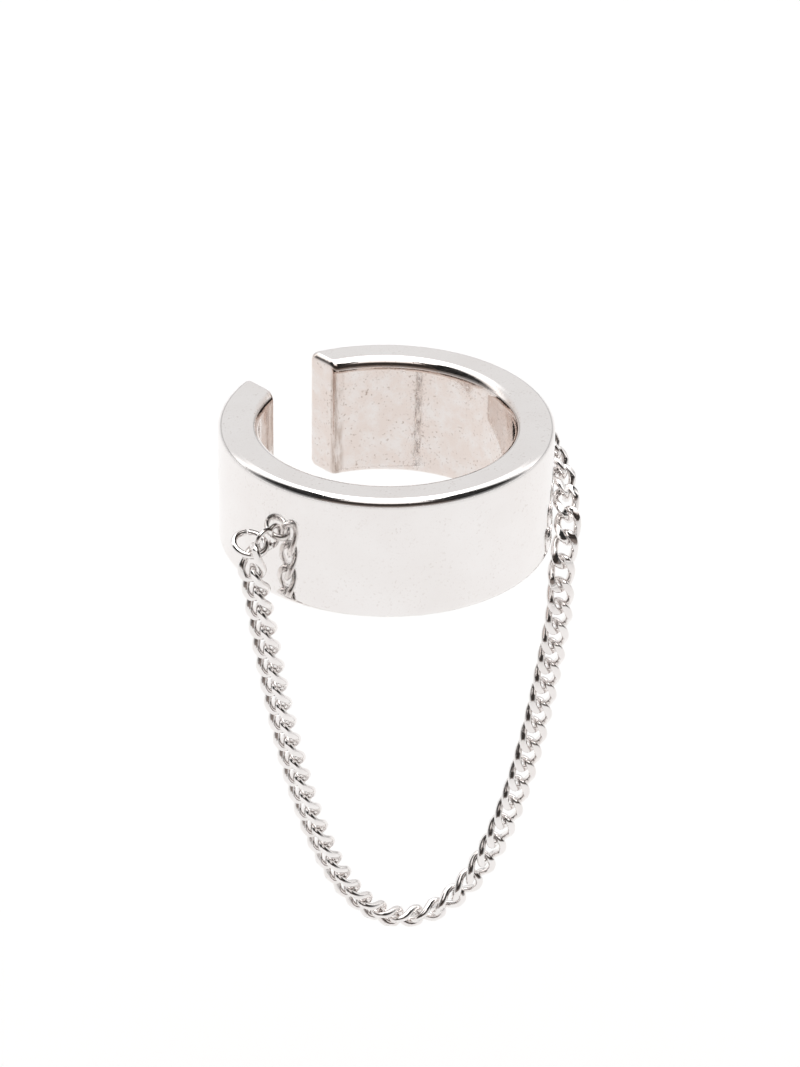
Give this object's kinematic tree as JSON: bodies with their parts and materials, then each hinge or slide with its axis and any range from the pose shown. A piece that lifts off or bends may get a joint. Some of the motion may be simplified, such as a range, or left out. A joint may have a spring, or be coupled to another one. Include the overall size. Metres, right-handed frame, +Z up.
{
  "type": "ear cuff with chain",
  "caption": "Open band ear cuff of polished silver with a flat curb chain that hangs in a loop from a jump ring at each side.",
  "frame": {"origin": "centre of the cuff's bore at mid height, where it sits on the rim of the ear", "axes": "+Z up along the bore's axis, +Y out through the middle of the band's open side; the chain hangs down towards -Z"},
  "size_m": [0.0171, 0.0137, 0.0242],
  "materials": {
    "cuff_silver": "polished silver with fine pits and handling marks",
    "ring_silver": "bright drawn silver wire",
    "chain_silver": "bright silver wire with ground flats"
  },
  "bodies": {
    "root": {"ear_cuff": "cuff_silver", "jump_ring_left": "ring_silver", "jump_ring_right": "ring_silver", "chain": "chain_silver"}
  },
  "joints": []
}
